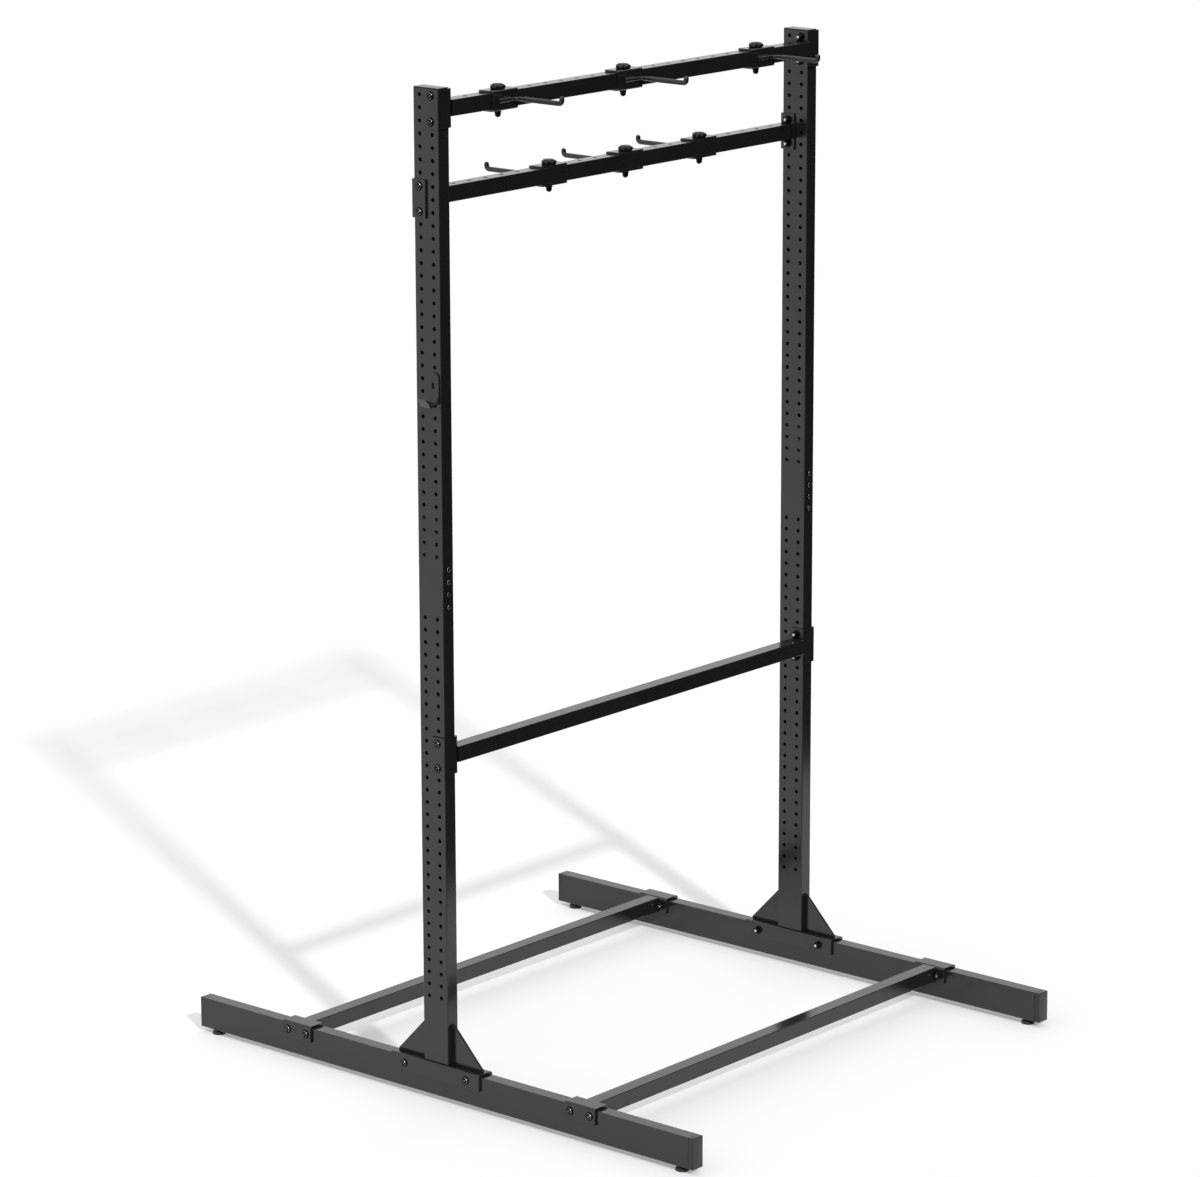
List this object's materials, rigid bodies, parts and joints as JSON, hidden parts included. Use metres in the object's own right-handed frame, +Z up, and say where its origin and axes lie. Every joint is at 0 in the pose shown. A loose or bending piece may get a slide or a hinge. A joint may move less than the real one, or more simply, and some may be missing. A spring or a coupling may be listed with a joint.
{
  "type": "bike storage tower",
  "caption": "Free-standing black steel tower that hangs bikes by a wheel from coated rod hooks on two height-adjustable crossbars, on a wide base with levelling feet",
  "frame": {"origin": "On the floor, midway between the two floor beams and midway along them", "axes": "+X along the crossbars to the post without the accessory hook, +Y from the front, where the higher bar is, to the rear, +Z up"},
  "size_m": [1.2123, 1.326, 2.033],
  "materials": {
    "powder_coat": "fine-textured matte black powder coat",
    "end_caps": "moulded matte black plastic",
    "black_fasteners": "black zinc-plated steel",
    "zinc": "bright zinc-plated steel",
    "foot_pads": "moulded matte black nylon",
    "hook_coating": "soft black vinyl dip",
    "knobs": "moulded black nylon, fine texture"
  },
  "bodies": {
    "frame": {"base_beam_left": "powder_coat", "base_beam_right": "powder_coat", "base_rail_front": "powder_coat", "base_rail_rear": "powder_coat", "post_lower_left": "powder_coat", "post_lower_right": "powder_coat", "post_upper_left": "powder_coat", "post_upper_right": "powder_coat", "top_bar_front": "powder_coat", "top_bar_rear": "powder_coat", "low_bar_front": "powder_coat", "gear_hook": "powder_coat", "hook_front_left": "powder_coat", "hook_front_middle": "powder_coat", "hook_front_right": "powder_coat", "hook_rear_left": "powder_coat", "hook_rear_middle": "powder_coat", "hook_rear_right": "powder_coat", "beam_cap_left_front": "end_caps", "beam_cap_left_rear": "end_caps", "beam_cap_right_front": "end_caps", "beam_cap_right_rear": "end_caps", "post_cap_left": "end_caps", "post_cap_right": "end_caps", "base_bolts": "black_fasteners", "base_nuts": "black_fasteners", "bar_bolts": "black_fasteners", "bar_nuts": "black_fasteners", "splice_screws": "black_fasteners", "acorn_nuts": "black_fasteners", "splice_insert_left": "zinc", "splice_insert_right": "zinc", "foot_nuts": "zinc", "sleeve_front_left": "hook_coating", "sleeve_front_middle": "hook_coating", "sleeve_front_right": "hook_coating", "sleeve_rear_left": "hook_coating", "sleeve_rear_middle": "hook_coating", "sleeve_rear_right": "hook_coating"},
    "pad_left_front": {"foot_pad_left_front": "foot_pads"},
    "stud_left_front": {"foot_stud_left_front": "zinc"},
    "pad_left_rear": {"foot_pad_left_rear": "foot_pads"},
    "stud_left_rear": {"foot_stud_left_rear": "zinc"},
    "pad_right_front": {"foot_pad_right_front": "foot_pads"},
    "stud_right_front": {"foot_stud_right_front": "zinc"},
    "pad_right_rear": {"foot_pad_right_rear": "foot_pads"},
    "stud_right_rear": {"foot_stud_right_rear": "zinc"},
    "bolt_front_left": {"clamp_bolt_front_left": "zinc"},
    "knob_front_left": {"knob_front_left": "knobs"},
    "bolt_front_middle": {"clamp_bolt_front_middle": "zinc"},
    "knob_front_middle": {"knob_front_middle": "knobs"},
    "bolt_front_right": {"clamp_bolt_front_right": "zinc"},
    "knob_front_right": {"knob_front_right": "knobs"},
    "bolt_rear_left": {"clamp_bolt_rear_left": "zinc"},
    "knob_rear_left": {"knob_rear_left": "knobs"},
    "bolt_rear_middle": {"clamp_bolt_rear_middle": "zinc"},
    "knob_rear_middle": {"knob_rear_middle": "knobs"},
    "bolt_rear_right": {"clamp_bolt_rear_right": "zinc"},
    "knob_rear_right": {"knob_rear_right": "knobs"}
  },
  "joints": [
    {"name": "foot_left_front_height", "type": "slide", "parent": "frame", "child": "pad_left_front", "axis": [0, 0, -1], "range_m": [0, 0.012]},
    {"name": "foot_left_front_turn", "type": "hinge", "parent": "pad_left_front", "child": "stud_left_front", "pos_m": [-0.5675, -0.624, 0.0115], "axis": [0, 0, -1], "range_deg": [0, 2881]},
    {"name": "foot_left_rear_height", "type": "slide", "parent": "frame", "child": "pad_left_rear", "axis": [0, 0, -1], "range_m": [0, 0.012]},
    {"name": "foot_left_rear_turn", "type": "hinge", "parent": "pad_left_rear", "child": "stud_left_rear", "pos_m": [-0.5675, 0.624, 0.0115], "axis": [0, 0, -1], "range_deg": [0, 2881]},
    {"name": "foot_right_front_height", "type": "slide", "parent": "frame", "child": "pad_right_front", "axis": [0, 0, -1], "range_m": [0, 0.012]},
    {"name": "foot_right_front_turn", "type": "hinge", "parent": "pad_right_front", "child": "stud_right_front", "pos_m": [0.5675, -0.624, 0.0115], "axis": [0, 0, -1], "range_deg": [0, 2881]},
    {"name": "foot_right_rear_height", "type": "slide", "parent": "frame", "child": "pad_right_rear", "axis": [0, 0, -1], "range_m": [0, 0.012]},
    {"name": "foot_right_rear_turn", "type": "hinge", "parent": "pad_right_rear", "child": "stud_right_rear", "pos_m": [0.5675, 0.624, 0.0115], "axis": [0, 0, -1], "range_deg": [0, 2881]},
    {"name": "clamp_front_left_lift", "type": "slide", "parent": "frame", "child": "bolt_front_left", "axis": [0, 0, 1], "range_m": [0, 0.01]},
    {"name": "knob_front_left_turn", "type": "hinge", "parent": "bolt_front_left", "child": "knob_front_left", "pos_m": [-0.4029, -0.0235, 1.993], "axis": [0, 0, 1], "range_deg": [0, 2881]},
    {"name": "clamp_front_middle_lift", "type": "slide", "parent": "frame", "child": "bolt_front_middle", "axis": [0, 0, 1], "range_m": [0, 0.01]},
    {"name": "knob_front_middle_turn", "type": "hinge", "parent": "bolt_front_middle", "child": "knob_front_middle", "pos_m": [-0.0293, -0.0235, 1.993], "axis": [0, 0, 1], "range_deg": [0, 2881]},
    {"name": "clamp_front_right_lift", "type": "slide", "parent": "frame", "child": "bolt_front_right", "axis": [0, 0, 1], "range_m": [0, 0.01]},
    {"name": "knob_front_right_turn", "type": "hinge", "parent": "bolt_front_right", "child": "knob_front_right", "pos_m": [0.391, -0.0235, 1.993], "axis": [0, 0, 1], "range_deg": [0, 2881]},
    {"name": "clamp_rear_left_lift", "type": "slide", "parent": "frame", "child": "bolt_rear_left", "axis": [0, 0, 1], "range_m": [0, 0.01]},
    {"name": "knob_rear_left_turn", "type": "hinge", "parent": "bolt_rear_left", "child": "knob_rear_left", "pos_m": [-0.2004, 0.0235, 1.818], "axis": [0, 0, 1], "range_deg": [0, 2881]},
    {"name": "clamp_rear_middle_lift", "type": "slide", "parent": "frame", "child": "bolt_rear_middle", "axis": [0, 0, 1], "range_m": [0, 0.01]},
    {"name": "knob_rear_middle_turn", "type": "hinge", "parent": "bolt_rear_middle", "child": "knob_rear_middle", "pos_m": [0.0331, 0.0235, 1.818], "axis": [0, 0, 1], "range_deg": [0, 2881]},
    {"name": "clamp_rear_right_lift", "type": "slide", "parent": "frame", "child": "bolt_rear_right", "axis": [0, 0, 1], "range_m": [0, 0.01]},
    {"name": "knob_rear_right_turn", "type": "hinge", "parent": "bolt_rear_right", "child": "knob_rear_right", "pos_m": [0.2666, 0.0235, 1.818], "axis": [0, 0, 1], "range_deg": [0, 2881]}
  ],
  "couplings": [
    {"joint": "foot_left_front_turn", "follows": "foot_left_front_height", "rad_per_m": 4188.8},
    {"joint": "foot_left_rear_turn", "follows": "foot_left_rear_height", "rad_per_m": 4188.8},
    {"joint": "foot_right_front_turn", "follows": "foot_right_front_height", "rad_per_m": 4188.8},
    {"joint": "foot_right_rear_turn", "follows": "foot_right_rear_height", "rad_per_m": 4188.8},
    {"joint": "knob_front_left_turn", "follows": "clamp_front_left_lift", "rad_per_m": 5026.5},
    {"joint": "knob_front_middle_turn", "follows": "clamp_front_middle_lift", "rad_per_m": 5026.5},
    {"joint": "knob_front_right_turn", "follows": "clamp_front_right_lift", "rad_per_m": 5026.5},
    {"joint": "knob_rear_left_turn", "follows": "clamp_rear_left_lift", "rad_per_m": 5026.5},
    {"joint": "knob_rear_middle_turn", "follows": "clamp_rear_middle_lift", "rad_per_m": 5026.5},
    {"joint": "knob_rear_right_turn", "follows": "clamp_rear_right_lift", "rad_per_m": 5026.5}
  ]
}
